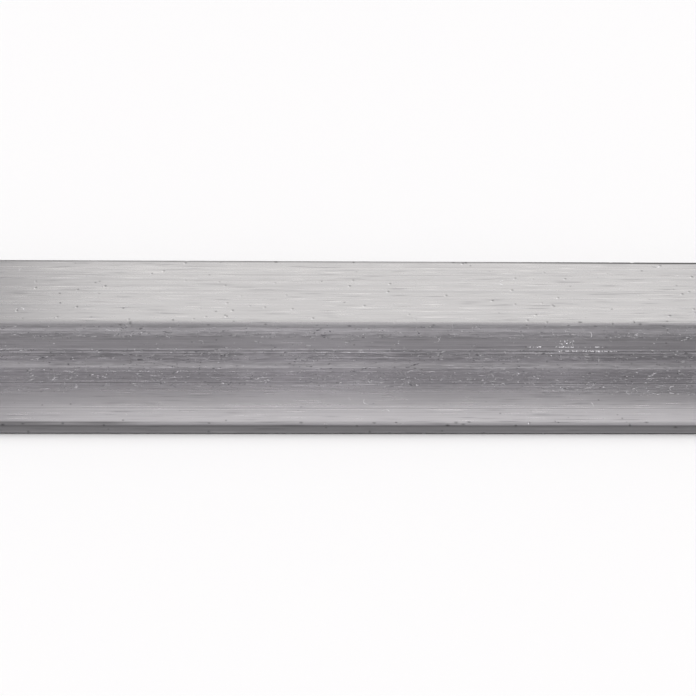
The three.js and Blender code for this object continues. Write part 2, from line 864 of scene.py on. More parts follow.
    @staticmethod
    def _dents(
        tree: bpy.types.NodeTree,
        place: bpy.types.NodeSocket,
        cell_mm: tuple[float, float],
        reach: float,
        bottom: float,
        shift_mm: float = 0.0,
    ) -> bpy.types.NodeSocket:
        """Scattered round or long dents.

        Args:
            tree: the material's tree.
            place: the place on the bar.
            cell_mm: how far apart they lie, along the bar and across it.
            reach: a dent's radius, as a share of that.
            bottom: the value at the bottom of a dent.
            shift_mm: how far they are moved, along the bar and across it.

        Returns:
            That value at the bottoms and 1 between the dents.
        """
        along, across = cell_mm
        scaled = add_node(
            tree,
            "ShaderNodeMapping",
            {
                "Vector": place,
                "Location": (shift_mm / along, shift_mm / across, 0.0),
                "Scale": (1 / (along * MM), 1 / (across * MM), 1 / (across * MM)),
            },
        ).outputs["Vector"]
        distance = add_node(
            tree, "ShaderNodeTexVoronoi", {"Vector": scaled, "Scale": 1.0}
        ).outputs["Distance"]
        inputs = {"Value": distance, "From Max": reach, "To Min": bottom}
        return add_node(tree, "ShaderNodeMapRange", inputs).outputs["Result"]

    def _roughness(
        self,
        tree: bpy.types.NodeTree,
        marks: bpy.types.NodeSocket,
        torn: bpy.types.NodeSocket,
        tone: bpy.types.NodeSocket,
    ) -> bpy.types.NodeSocket:
        """How rough the surface is.

        Args:
            tree: the material's tree.
            marks: how clean the die's lines are.
            torn: how torn the metal is.
            tone: how much of the clean metal's brightness is left.

        Returns:
            The roughness.
        """
        lines = add_node(
            tree,
            "ShaderNodeMath",
            {0: marks, 1: -self.line_roughness, 2: self.roughness + self.line_roughness},
            operation="MULTIPLY_ADD",
        ).outputs[0]
        # Dirt here is all that the tone darkens: dirt in nicks and pits, darker bands, and the
        # painted shade of the edges and toes.
        dirt = add_node(
            tree, "ShaderNodeMath", {0: 1.0, 1: tone}, operation="SUBTRACT", use_clamp=True
        ).outputs[0]
        worn = add_node(tree, "ShaderNodeMath", {0: torn, 1: dirt}, operation="ADD").outputs[0]
        rough = add_node(
            tree,
            "ShaderNodeMath",
            {0: worn, 1: self.worn_roughness, 2: lines},
            operation="MULTIPLY_ADD",
        ).outputs[0]
        caked = add_node(
            tree, "ShaderNodeMath", {0: dirt, 1: self.caking}, operation="POWER"
        ).outputs[0]
        return add_node(
            tree,
            "ShaderNodeMath",
            {0: caked, 1: self.dirt_roughness, 2: rough},
            operation="MULTIPLY_ADD",
        ).outputs[0]

    def material(self) -> bpy.types.Material:
        """Builds the material.

        Returns:
            The material, which reads the bar's "pickup", "tone" and "cast" attributes.
        """
        material = empty_material("mill_finish_extruded_aluminium")
        tree = material.node_tree
        place = add_node(tree, "ShaderNodeTexCoord").outputs["Object"]
        pickup = add_node(tree, "ShaderNodeAttribute", attribute_name="pickup").outputs["Fac"]
        tone = add_node(tree, "ShaderNodeAttribute", attribute_name="tone").outputs["Fac"]
        cast = add_node(tree, "ShaderNodeAttribute", attribute_name="cast").outputs["Fac"]

        marks = self._marks(tree, place)
        torn = add_node(
            tree,
            "ShaderNodeMath",
            {0: self._tears(tree, place), 1: pickup},
            operation="MULTIPLY",
            use_clamp=True,
        ).outputs[0]
        pits = self._dents(tree, place, (self.pit_cell_mm,) * 2, self.pit_reach, self.pit_tone)
        rubs = self._dents(tree, place, self.rub_cell_mm, self.rub_reach, self.rub_tone)
        cell = (self.ding_cell_mm,) * 2
        dings = self._dents(tree, place, cell, self.ding_reach, self.ding_tone)
        # A painted highlight beside each ding, on its lit side. It has no relief of its own.
        rim_highlights = self._dents(tree, place, cell, self.ding_reach, self.rim_painted_highlight, self.rim_shift_mm)
        dings = add_node(
            tree, "ShaderNodeMath", {0: dings, 1: rim_highlights}, operation="MULTIPLY"
        ).outputs[0]
        # Only the outermost faces, which are those without a cast, are knocked about.
        dings = add_node(
            tree, "ShaderNodeMapRange", {"Value": cast, "To Min": dings, "To Max": 1.0}
        ).outputs["Result"]

        # A colour mix has its factor, A and B at inputs 0, 6 and 7, and its result at output 2.
        colour = add_node(
            tree,
            "ShaderNodeMix",
            {0: marks, 6: linear(self.dull), 7: linear(self.metal)},
            data_type="RGBA",
        ).outputs[2]
        colour = add_node(
            tree, "ShaderNodeMix", {0: torn, 6: colour, 7: linear(self.torn)}, data_type="RGBA"
        ).outputs[2]
        # Painted tint of reflected light: violet on the inner faces, neutral on the top and the
        # underside.
        tint = add_node(
            tree,
            "ShaderNodeMix",
            {0: cast, 6: linear(self.neutral_tint), 7: linear(self.violet)},
            data_type="RGBA",
        ).outputs[2]
        tone = add_node(tree, "ShaderNodeMath", {0: tone, 1: pits}, operation="MULTIPLY").outputs[0]
        # The tone brings in the painted shade of the edges and toes and the painted reflections,
        # the tint the painted tint of reflected light, and the dings their painted highlights.
        for factor in (tint, tone, dings, rubs):
            colour = add_node(
                tree, "ShaderNodeVectorMath", {0: colour, 1: factor}, operation="MULTIPLY"
            ).outputs["Vector"]

        normal = add_node(
            tree,
            "ShaderNodeBump",
            {"Strength": 1.0, "Distance": self.relief_mm * MM, "Height": marks},
        ).outputs["Normal"]
        reliefs = (
            (torn, self.tear_relief_mm),
            (pits, self.dent_relief_mm),
            (dings, self.dent_relief_mm),
        )
        for height, relief_mm in reliefs:
            normal = add_node(
                tree,
                "ShaderNodeBump",
                {
                    "Strength": 1.0,
                    "Distance": relief_mm * MM,
                    "Height": height,
                    "Normal": normal,
                },
            ).outputs["Normal"]
        along_bar = add_node(tree, "ShaderNodeCombineXYZ", {"X": 1.0}).outputs["Vector"]
        # The tangent runs along the die lines. A quarter turn stretches the highlight across them.
        quarter_turn = 0.25
        shader = add_node(
            tree,
            "ShaderNodeBsdfPrincipled",
            {
                "Base Color": colour,
                "Metallic": 1.0,
                "Specular Tint": linear(self.edge_on),
                "Roughness": self._roughness(tree, marks, torn, tone),
                "Normal": normal,
                "Tangent": along_bar,
                "Anisotropic": self.anisotropy,
                "Anisotropic Rotation": quarter_turn,
            },
        )
        add_node(tree, "ShaderNodeOutputMaterial", {"Surface": shader.outputs["BSDF"]})
        return material


@dataclass(frozen=True)
class SawnFinish:
    """Aluminium cut by a circular saw: bright, with arcs that the teeth leave.

    Attributes:
        metal: colour on the arcs' crests.
        shaded: its colour between them, in the arcs' troughs.
        roughness: the same all over.
        blade_radius_mm: radius of the saw blade, so of the arcs.
        tooth_pitch_mm: distance from one arc to the next.
        chatter: how much the blade's chatter bends the arcs.
        chatter_detail: how uneven that is.
        relief_mm: height of the arcs.
    """

    metal: str = "#dcdcde"
    shaded: str = "#cacacd"
    roughness: float = 0.36
    blade_radius_mm: float = 125.0
    tooth_pitch_mm: float = 0.45
    chatter: float = 2.0
    chatter_detail: float = 2.0
    relief_mm: float = 0.012

    def material(self) -> bpy.types.Material:
        """Builds the material.

        Returns:
            The material, for the bar's two ends.
        """
        material = empty_material("saw_cut_aluminium")
        tree = material.node_tree
        place = add_node(tree, "ShaderNodeTexCoord").outputs["Object"]
        about_blade = add_node(
            tree,
            "ShaderNodeMapping",
            {"Vector": place, "Location": (0.0, 0.0, self.blade_radius_mm * MM)},
        ).outputs["Vector"]
        # How far the wave texture's phase runs over one unit at scale 1, in radians.
        phase_per_unit = 20
        arcs = add_node(
            tree,
            "ShaderNodeTexWave",
            {
                "Vector": about_blade,
                "Scale": math.tau / phase_per_unit / (self.tooth_pitch_mm * MM),
                "Distortion": self.chatter,
                "Detail": self.chatter_detail,
            },
            wave_type="RINGS",
            rings_direction="X",
        ).outputs["Fac"]
        bump = add_node(
            tree,
            "ShaderNodeBump",
            {"Strength": 1.0, "Distance": self.relief_mm * MM, "Height": arcs},
        ).outputs["Normal"]
        colour = add_node(
            tree,
            "ShaderNodeMix",
            {0: arcs, 6: linear(self.shaded), 7: linear(self.metal)},
            data_type="RGBA",
        ).outputs[2]
        shader = add_node(
            tree,
            "ShaderNodeBsdfPrincipled",
            {
                "Base Color": colour,
                "Metallic": 1.0,
                "Roughness": self.roughness,
                "Normal": bump,
            },
        )
        add_node(tree, "ShaderNodeOutputMaterial", {"Surface": shader.outputs["BSDF"]})
        return material


@dataclass(frozen=True)
class TornFinish:
    """Pick-up: grains of aluminium torn off in the die and pressed back on.

    Fresh grains are brighter than the skin round them. Darker grains carry oxide and painted shade,
    which stands for the grains' shaded sides, so the bands of pick-up look peppered both ways.

    Attributes:
        name: the material's name.
        fresh: colour of the brightest grains.
        oxide_and_painted_shade: colour of the darkest grains, oxide and painted shade in one.
        roughness: the same for all.
        patch_mm: size of the patches that share a colour, about one grain.
        patch_range: the patches' noise where a grain takes the darkest colour, and where it is
            fresh.
    """

    name: str = "torn_aluminium_pickup"
    fresh: str = "#c2c1c3"
    # Painted shade in part: it also stands for the grains' shaded sides.
    oxide_and_painted_shade: str = "#858488"
    roughness: float = 0.5
    patch_mm: float = 0.4
    patch_range: tuple[float, float] = (0.38, 0.54)

    def material(self) -> bpy.types.Material:
        """Builds the material.

        Returns:
            The material, for raised marks.
        """
        material = empty_material(self.name)
        tree = material.node_tree
        place = add_node(tree, "ShaderNodeTexCoord").outputs["Object"]
        patches = add_node(
            tree,
            "ShaderNodeTexNoise",
            {"Vector": place, "Scale": 1 / (self.patch_mm * MM), "Detail": 0.0},
        ).outputs["Fac"]
        darkest, brightest = self.patch_range
        share = add_node(
            tree,
            "ShaderNodeMapRange",
            {"Value": patches, "From Min": darkest, "From Max": brightest},
        ).outputs["Result"]
        colour = add_node(
            tree,
            "ShaderNodeMix",
            {0: share, 6: linear(self.oxide_and_painted_shade), 7: linear(self.fresh)},
            data_type="RGBA",
        ).outputs[2]
        shader = add_node(
            tree,
            "ShaderNodeBsdfPrincipled",
            {"Base Color": colour, "Metallic": 1.0, "Roughness": self.roughness},
        )
        add_node(tree, "ShaderNodeOutputMaterial", {"Surface": shader.outputs["BSDF"]})
        return material


@dataclass
class Bar:
    """The bar's skin: the section drawn along X, with nicked edges and sawn ends.

    Attributes:
        length_mm: the bar's length.
        section: its outline.
        lines: its die lines.
        nicks: the nicks of its edges.
        bands: the stretches of its faces that look unlike the rest.
        patches: soft paler patches of painted reflection and duller ones of painted shade on the
            faces that have a cast: X of the middle in millimetres, and the brightness there against
            the rest.
        patch_half_mm: half a patch's length, fading ends included.
        patch_fade_mm: distances from the mid-plane of the web at which the patches start and end
            to fade.
        end_break_mm: the small chamfer that breaks each sawn edge.
        station_mm: distance between the rings of points where nothing happens.
        clear_end_mm: length beside each sawn end that no mark starts on, so none hangs over it.
        ramp_mm: length over which pick-up starts and ends.
        nick_rings: where the rings of points that carry a nick lie, in its half lengths from its
            middle. The outermost ones lie beyond it, so the long faces between nicks stay straight.
        sharp_degrees: edges that turn by more than this are sharp.
    """

    length_mm: float
    section: ZeeSection
    lines: DieLines
    nicks: EdgeNicks
    bands: tuple[DieBand, ...]
    # Painted reflections above 1 and painted shade below 1, on the faces beside the web.
    patches: tuple[tuple[float, float], ...] = (
        (-208.0, 1.11),
        (-162.0, 0.90),
        (-121.0, 1.11),
        (-5.0, 1.11),
        (48.0, 0.90),
        (93.0, 1.11),
        (187.0, 1.11),
    )
    patch_half_mm: float = 15.0
    patch_fade_mm: tuple[float, float] = (7.5, 11.0)
    end_break_mm: float = 0.12
    station_mm: float = 10.0
    clear_end_mm: float = 1.1
    ramp_mm: float = 0.6
    nick_rings: tuple[float, ...] = (-1.3, -1.0, -0.5, 0.0, 0.5, 1.0, 1.3)
    sharp_degrees: float = 32.0

    @property
    def _marked_reach(self) -> float:
        """Distance from mid-length beyond which the bar carries no marks, in millimetres."""
        return self.length_mm / 2 - self.end_break_mm - self.clear_end_mm

    def _stations(self) -> list[float]:
        """Places the plain rings of points, which carry no nick.

        Returns:
            X of each in millimetres, in order, from one end break to the other.
        """
        reach = self.length_mm / 2 - self.end_break_mm
        marked = self._marked_reach
        inner = marked - self.ramp_mm
        count = round(2 * inner / self.station_mm)
        stations = {-reach, -marked, marked, reach}
        stations |= {-inner + 2 * inner * i / count for i in range(count + 1)}
        for band in self.bands:
            low, high = band.stretch_mm
            if math.isfinite(low):
                stations |= {low, low + self.ramp_mm, high - self.ramp_mm, high}
        return sorted(stations)

    def _with_nicks(self, stations: list[float], nicks: list[Nick]) -> list[float]:
        """Adds the rings that carry an edge's nicks.

        Args:
            stations: X of the plain rings.
            nicks: the nicks of one edge.

        Returns:
            X of all the rings of that edge, in order, the plain ones among them.
        """
        extra = [nick.x + share * nick.half_length for nick in nicks for share in self.nick_rings]
        inside = [x for x in extra if stations[0] < x < stations[-1]]
        return sorted(set(stations) | set(inside))

    def _painted_reflection(self, x: float, point: RimPoint) -> float:
        """Brightness that the painted reflection and shade patches give a point.

        Args:
            x: where it is along the bar, in millimetres.
            point: the outline's point.

        Returns:
            The brightness against the rest.
        """
        middle, tone = min(self.patches, key=lambda patch: abs(x - patch[0]))
        inside = self.patch_half_mm - abs(x - middle)
        share = min(1.0, max(0.0, inside / (self.patch_half_mm / 2)))
        full, none = self.patch_fade_mm
        share *= min(1.0, max(0.0, (none - abs(point.place.x)) / (none - full)))
        return 1 + (tone - 1) * share * point.cast

    def build(self) -> bpy.types.Object:
        """Makes the bar's mesh object.

        Returns:
            The object, with its faces in material slot 0 and its sawn ends in slot 1.
        """
        rim = self.section.outline(self.lines, self.bands)
        plain = self._stations()
        reach = self.section.edge_radius * math.pi / 4 + self.section.nick_reach
        nicks: dict[int | None, list[Nick]] = {None: []}
        rings: dict[int | None, list[float]] = {None: plain}
        for number, corner in enumerate(self.section.corners()):
            if corner.convex:
                nicks[number] = self.nicks.along_edge(number, self.length_mm, reach)
                rings[number] = self._with_nicks(plain, nicks[number])

        # One column of points runs the whole length of the bar from each point of the outline.
        vertices: list[Vector] = []
        looks: dict[str, list[float]] = {
            name: [] for name in ("pickup", "fresh", "handled", "tone", "cast")
        }
        columns: list[list[int]] = []
        for point in rim:
            column = []
            for x in rings[point.corner]:
                across = point.place.copy()
                # The tone takes the outline's painted shade and the patches' painted reflections.
                tone = point.tone * self._painted_reflection(x, point)
                for nick in nicks[point.corner]:
                    if abs(x - nick.x) >= nick.half_length:
                        continue
                    share = nick.share(x, point.along)
                    across -= point.outward * nick.depth * share
                    tone *= 1 + (self.nicks.tone - 1) * share
                column.append(len(vertices))
                vertices.append(Vector((x, across.x, across.y)) * MM)
                clear = abs(x) >= self._marked_reach
                picked, fresh = (0.0, 0.0) if clear else point.weights(x)
                looks["pickup"].append(picked)
                looks["fresh"].append(fresh)
                looks["handled"].append(0.0 if clear or point.corner is not None else 1.0)
                looks["tone"].append(tone)
                looks["cast"].append(point.cast)
            columns.append(column)

        faces: list[list[int]] = []
        for i, left in enumerate(columns):
            after = (i + 1) % len(columns)
            left_x = rings[rim[i].corner]
            right_x = rings[rim[after].corner]
            faces += self._strip(left, left_x, columns[after], right_x, plain)

        sawn_from = len(faces)
        faces += self._ends(rim, columns, vertices, looks)
        return self._object(vertices, faces, looks, sawn_from)

    def _ends(
        self,
        rim: list[RimPoint],
        columns: list[list[int]],
        vertices: list[Vector],
        looks: dict[str, list[float]],
    ) -> list[list[int]]:
        """Closes the bar with its two sawn ends.

        Args:
            rim: the outline.
            columns: the points along the bar, for each point of the outline.
            vertices: all the points, to which the ends' own are added.
            looks: the named values of all the points, to which theirs are added.

        Returns:
            The faces of the broken edges and of both ends.
        """
        ends = []
        for end in (-1, 1):
            ring = []
            for point in rim:
                across = point.place - point.outward * self.end_break_mm
                ring.append(len(vertices))
                vertices.append(Vector((end * self.length_mm / 2, across.x, across.y)) * MM)
                for name, values in looks.items():
                    values.append(1.0 if name == "tone" else 0.0)
            ends.append(ring)
        low, high = ends
        faces = []
        for i in range(len(rim)):
            after = (i + 1) % len(rim)
            faces.append([low[i], low[after], columns[after][0], columns[i][0]])
            faces.append([columns[i][-1], columns[after][-1], high[after], high[i]])
        return faces + [list(reversed(low)), high]

    @staticmethod
    def _strip(
        left: list[int],
        left_x: list[float],
        right: list[int],
        right_x: list[float],
        plain: list[float],
    ) -> list[list[int]]:
        """Joins two neighbouring columns of points.

        Args:
            left: one column's points.
            left_x: X of each.
            right: the next column's points.
            right_x: X of each.
            plain: X of the rings that every column has.

        Returns:
            The faces between them. Where only one column has the rings of an edge's nicks, each
            face spans a whole plain stretch, so the columns still share every point.
        """
        if left_x == right_x:
            return [[left[k], right[k], right[k + 1], left[k + 1]] for k in range(len(left) - 1)]
        faces = []
        for low, high in zip(plain, plain[1:]):
            left_span = [v for v, x in zip(left, left_x) if low <= x <= high]
            right_span = [v for v, x in zip(right, right_x) if low <= x <= high]
            faces.append(right_span + list(reversed(left_span)))
        return faces

    def _object(
        self,
        vertices: list[Vector],
        faces: list[list[int]],
        attributes: dict[str, list[float]],
        sawn_from: int,
    ) -> bpy.types.Object:
        """Wraps the points and faces in an object.

        Args:
            vertices: points in metres.
            faces: their faces, outward.
            attributes: named values, one for each point.
            sawn_from: the number of the first face of the ends.

        Returns:
            The linked object, smooth apart from its sharp edges.
        """
        mesh = bpy.data.meshes.new("zee_bar")
        mesh.from_pydata(vertices, [], faces)
        for name, values in attributes.items():
            mesh.attributes.new(name, "FLOAT", "POINT").data.foreach_set("value", values)
        for polygon in mesh.polygons:
            polygon.use_smooth = True
            polygon.material_index = int(polygon.index >= sawn_from)
        mesh.set_sharp_from_angle(angle=math.radians(self.sharp_degrees))
        mesh.validate()
        bar = bpy.data.objects.new("zee_bar", mesh)
        bpy.context.scene.collection.objects.link(bar)
        return bar

    def dress(
        self, bar: bpy.types.Object, skin: bpy.types.Material, ends: bpy.types.Material
    ) -> None:
        """Gives the bar its two materials.

        Args:
            bar: the object that build made.
            skin: for the extruded faces.
            ends: for the sawn ends.
        """
        for material in (skin, ends):
            bar.data.materials.append(material)


class MarkShape(Enum):
    """What a small raised mark on the surface looks like."""

    GRAIN = "grain"
    BURR = "burr"


class Draw(Enum):
    """What is drawn by chance for each mark. The value is the seed of that draw."""

    DROPPING = 3
    SWING = 7
    SIZE = 9
    SMEARING = 12
    SMEAR = 13


@dataclass(frozen=True)
class SurfaceMarks:
    """Small raised marks, scattered over the bar by Geometry Nodes.

    Attributes:
        name: what the marks are.
        shape: a grain, which is a low cone, or a burr, which is a thin bow.
        weight: the bar's point attribute that says how thickly they lie.
        per_mm2: marks on a square millimetre where the weight is 1, before the gaps between
            clusters are taken out.
        length_mm: length of a small one along the bar.
        width_mm: its width.
        height_mm: its height.
        smear: how many times longer a smeared one is.
        swing: how far each is turned about its own three axes at most, in radians.
        cluster_mm: size of a cluster.
        raggedness_mm: how far its corners are pushed about.
        seed: fixes the scatter.
    """

    name: str
    shape: MarkShape
    weight: str
    per_mm2: float
    length_mm: float
    width_mm: float
    height_mm: float
    smear: float
    swing: tuple[float, float, float]
    cluster_mm: float
    raggedness_mm: float
    seed: int

    def _one(self, tree: bpy.types.GeometryNodeTree) -> bpy.types.NodeSocket:
        """One mark of unit size, sunk a little into the surface.

        Args:
            tree: the tree that it is added to.

        Returns:
            Its geometry.
        """
        if self.shape is MarkShape.GRAIN:
            corners = 5
            # About a third of the cone is sunk, so it stands on the surface with a closed foot.
            sunk = (0.0, 0.0, -0.35)
            mesh = add_node(
                tree,
                "GeometryNodeMeshCone",
                {"Vertices": corners, "Radius Top": 0.0, "Radius Bottom": 0.5, "Depth": 1.0},
            ).outputs["Mesh"]
        else:
            bends = 5
            sides = 4
            thickness = 0.12
            # The bow's crown lies half way to its middle handle, so this centres the bow. The
            # lower half of its thickness is under the surface.
            sunk = (0.0, -0.25, 0.0)
            bow = add_node(
                tree,
                "GeometryNodeCurveQuadraticBezier",
                {
                    "Resolution": bends,
                    "Start": (-0.5, 0.0, 0.0),
                    "Middle": (0.0, 1.0, 0.0),
                    "End": (0.5, 0.0, 0.0),
                },
            ).outputs["Curve"]
            profile = add_node(
                tree,
                "GeometryNodeCurvePrimitiveCircle",
                {"Resolution": sides, "Radius": thickness / 2},
            ).outputs["Curve"]
            mesh = add_node(
                tree,
                "GeometryNodeCurveToMesh",
                {"Curve": bow, "Profile Curve": profile, "Fill Caps": True},
            ).outputs["Mesh"]
        return add_node(
            tree, "GeometryNodeTransform", {"Geometry": mesh, "Translation": sunk}
        ).outputs["Geometry"]

    def _sizes(
        self, tree: bpy.types.GeometryNodeTree, given: bpy.types.NodeOutputs
    ) -> bpy.types.NodeSocket:
        """Each mark's size. Most are small, and about a third are smeared out along the bar.

        Args:
            tree: the tree that the nodes are added to.
            given: the tree's own inputs.

        Returns:
            Its length, width and height.
        """
        smallest, largest = 0.7, 2.0
        not_smeared = 0.66
        least_smear = 0.3
        bigness, smearing, smear = [
            add_node(
                tree,
                "FunctionNodeRandomValue",
                {2: low, 3: 1.0, "Seed": seed},
                data_type="FLOAT",
            ).outputs[1]
            for low, seed in (
                (0.0, Draw.SIZE.value),
                (0.0, Draw.SMEARING.value),
                (least_smear, Draw.SMEAR.value),
            )
        ]
        # Cubed, so that only a few are big.
        cubed = add_node(
            tree, "ShaderNodeMath", {0: bigness, 1: 3.0}, operation="POWER"
        ).outputs[0]
        size = add_node(
            tree,
            "ShaderNodeMath",
            {0: cubed, 1: largest - smallest, 2: smallest},
            operation="MULTIPLY_ADD",
        ).outputs[0]
        smeared = add_node(
            tree, "ShaderNodeMath", {0: smearing, 1: not_smeared}, operation="GREATER_THAN"
        ).outputs[0]
        extra = add_node(
            tree, "ShaderNodeMath", {0: given["Smear"], 1: 1.0}, operation="SUBTRACT"
        ).outputs[0]
        extra = add_node(
            tree, "ShaderNodeMath", {0: extra, 1: smear}, operation="MULTIPLY"
        ).outputs[0]
        longer = add_node(
            tree, "ShaderNodeMath", {0: smeared, 1: extra, 2: 1.0}, operation="MULTIPLY_ADD"
        ).outputs[0]
        long = add_node(
            tree, "ShaderNodeMath", {0: size, 1: longer}, operation="MULTIPLY"
        ).outputs[0]
        stretch = add_node(
            tree, "ShaderNodeCombineXYZ", {"X": long, "Y": size, "Z": size}
        ).outputs["Vector"]
        return add_node(
            tree, "ShaderNodeVectorMath", {0: stretch, 1: given["Mark size"]}, operation="MULTIPLY"
        ).outputs["Vector"]

    @staticmethod
    def _turns(
        tree: bpy.types.GeometryNodeTree,
        given: bpy.types.NodeOutputs,
        outward: bpy.types.NodeSocket,
    ) -> bpy.types.NodeSocket:
        """Each mark's rotation: upright on the surface, along the bar, then swung by chance.

        Args:
            tree: the tree that the nodes are added to.
            given: the tree's own inputs.
            outward: the surface's normal.

        Returns:
            The rotation.
        """
        upright = add_node(
            tree,
            "FunctionNodeAxesToRotation",
            {"Primary Axis": outward, "Secondary Axis": (1.0, 0.0, 0.0)},
            primary_axis="Z",
            secondary_axis="X",
        ).outputs["Rotation"]
        other_way = add_node(
            tree, "ShaderNodeVectorMath", {0: given["Swing"], "Scale": -1.0}, operation="SCALE"
        ).outputs["Vector"]
        swing = add_node(
            tree,
            "FunctionNodeRandomValue",
            {0: other_way, 1: given["Swing"], "Seed": Draw.SWING.value},
            data_type="FLOAT_VECTOR",
        ).outputs[0]
        swing = add_node(tree, "FunctionNodeEulerToRotation", {"Euler": swing}).outputs["Rotation"]
        return add_node(
            tree,
            "FunctionNodeRotateRotation",
            {"Rotation": upright, "Rotate By": swing},
            rotation_space="LOCAL",
        ).outputs["Rotation"]

    def _tree(self) -> bpy.types.GeometryNodeTree:
        """Builds the tree that turns a carrier mesh into the marks on it.

        Returns:
            The tree, with an input for each of the marks' sizes.
        """
        tree = bpy.data.node_groups.new(self.name + "_scatter", "GeometryNodeTree")
        for name, kind in (
            ("Carrier", "NodeSocketGeometry"),
            ("Marks per square metre", "NodeSocketFloat"),
            ("Mark size", "NodeSocketVector"),
            ("Smear", "NodeSocketFloat"),
            ("Swing", "NodeSocketVector"),
            ("Cluster size", "NodeSocketFloat"),
            ("Raggedness", "NodeSocketFloat"),
            ("Seed", "NodeSocketInt"),
            ("Material", "NodeSocketMaterial"),
        ):
            tree.interface.new_socket(name, in_out="INPUT", socket_type=kind)
        tree.interface.new_socket("Marks", in_out="OUTPUT", socket_type="NodeSocketGeometry")
        given = add_node(tree, "NodeGroupInput").outputs

        weight = add_node(
            tree, "GeometryNodeInputNamedAttribute", {"Name": self.weight}, data_type="FLOAT"
        ).outputs["Attribute"]
        density = add_node(
            tree,
            "ShaderNodeMath",
            {0: weight, 1: given["Marks per square metre"]},
            operation="MULTIPLY",
        ).outputs[0]
        scattered = add_node(
            tree,
            "GeometryNodeDistributePointsOnFaces",
            {"Mesh": given["Carrier"], "Density": density, "Seed": given["Seed"]},
            distribute_method="RANDOM",
        )
        # Marks come in clusters, so they are dropped where a slow noise is low. How low differs
        # from mark to mark, which leaves the clusters no hard edge.
        always_dropped, always_kept = 0.32, 0.64
        place = add_node(tree, "GeometryNodeInputPosition").outputs["Position"]
        fineness = add_node(
            tree, "ShaderNodeMath", {0: 1.0, 1: given["Cluster size"]}, operation="DIVIDE"
        ).outputs[0]
        clusters = add_node(
            tree, "ShaderNodeTexNoise", {"Vector": place, "Scale": fineness, "Detail": 1.0}
        ).outputs["Fac"]
        threshold = add_node(
            tree,
            "FunctionNodeRandomValue",
            {2: always_dropped, 3: always_kept, "Seed": Draw.DROPPING.value},
            data_type="FLOAT",
        ).outputs[1]
        kept = add_node(
            tree, "ShaderNodeMath", {0: clusters, 1: threshold}, operation="GREATER_THAN"
        ).outputs[0]

        placed = add_node(
            tree,
            "GeometryNodeInstanceOnPoints",
            {
                "Points": scattered.outputs["Points"],
                "Selection": kept,
                "Instance": self._one(tree),
                "Rotation": self._turns(tree, given, scattered.outputs["Normal"]),
                "Scale": self._sizes(tree, given),
            },
        )
        real = add_node(
            tree, "GeometryNodeRealizeInstances", {"Geometry": placed.outputs["Instances"]}
        ).outputs["Geometry"]
        # A noise five times as quick pushes each corner its own way, so no two marks look the same.
        quickness = 5.0
        quick = add_node(
            tree, "ShaderNodeMath", {0: quickness, 1: given["Cluster size"]}, operation="DIVIDE"
        ).outputs[0]
        push = add_node(
            tree, "ShaderNodeTexNoise", {"Vector": place, "Scale": quick}
        ).outputs["Color"]
        push = add_node(
            tree, "ShaderNodeVectorMath", {0: push, 1: (0.5, 0.5, 0.5)}, operation="SUBTRACT"
        ).outputs["Vector"]
        # The noise now reaches half a unit each way, so twice the raggedness makes it that.
        reach = add_node(
            tree, "ShaderNodeMath", {0: 2.0, 1: given["Raggedness"]}, operation="MULTIPLY"
        ).outputs[0]
        push = add_node(
            tree, "ShaderNodeVectorMath", {0: push, "Scale": reach}, operation="SCALE"
        ).outputs["Vector"]
        ragged = add_node(
            tree, "GeometryNodeSetPosition", {"Geometry": real, "Offset": push}
        ).outputs["Geometry"]
        painted = add_node(
            tree, "GeometryNodeSetMaterial", {"Geometry": ragged, "Material": given["Material"]}
        ).outputs["Geometry"]
        add_node(tree, "NodeGroupOutput", {"Marks": painted})
        return tree

    def build(self, bar: bpy.types.Object, material: bpy.types.Material) -> bpy.types.Object:
        """Scatters the marks.

        Args:
            bar: the bar, whose point attribute says how thickly they lie.
            material: their finish.

        Returns:
            One plain mesh object that holds them all.
        """
        carrier = bpy.data.objects.new("marks_carrier", bar.data.copy())
        bpy.context.scene.collection.objects.link(carrier)
        tree = self._tree()
        scatter = carrier.modifiers.new(self.name + "_scatter", "NODES")
        scatter.node_group = tree
        values = {
            "Marks per square metre": self.per_mm2 / MM**2,
            "Mark size": (self.length_mm * MM, self.width_mm * MM, self.height_mm * MM),
            "Smear": self.smear,
            "Swing": self.swing,
            "Cluster size": self.cluster_mm * MM,
            "Raggedness": self.raggedness_mm * MM,
            "Seed": self.seed,
            "Material": material,
        }
        for socket in tree.interface.items_tree:
            if socket.name in values:
                scatter[socket.identifier] = values[socket.name]
        evaluated = carrier.evaluated_get(bpy.context.evaluated_depsgraph_get())
        mesh = bpy.data.meshes.new_from_object(evaluated)
        mesh.name = self.name
        marks = bpy.data.objects.new(self.name, mesh)
        bpy.context.scene.collection.objects.link(marks)
        bpy.data.objects.remove(carrier)
        return marks


@dataclass(frozen=True)
class SoftLamp:
    """A rectangular softbox.

    Attributes:
        name: what it is for.
        place: its middle, in metres.
        size: its width and height, in metres.
        power: in watts.
        colour: its tint.
        aim: the point it faces.
    """

    name: str
    place: tuple[float, float, float]
    size: tuple[float, float]
    power: float
    colour: str = "#ffffff"
    aim: tuple[float, float, float] = (0.0, 0.0, 0.0)

    def hang(self) -> None:
        """Adds the lamp to the scene, unseen by the camera."""
        lamp = bpy.data.lights.new(self.name, "AREA")
        lamp.shape = "RECTANGLE"
        lamp.size, lamp.size_y = self.size
        lamp.energy = self.power
        lamp.color = linear(self.colour)[:3]
        holder = bpy.data.objects.new(self.name, lamp)
        facing = Vector(self.aim) - Vector(self.place)
        turn = facing.to_track_quat("-Z", "Y").to_matrix().to_4x4()
        holder.matrix_world = Matrix.Translation(self.place) @ turn
        holder.visible_camera = False
        bpy.context.scene.collection.objects.link(holder)


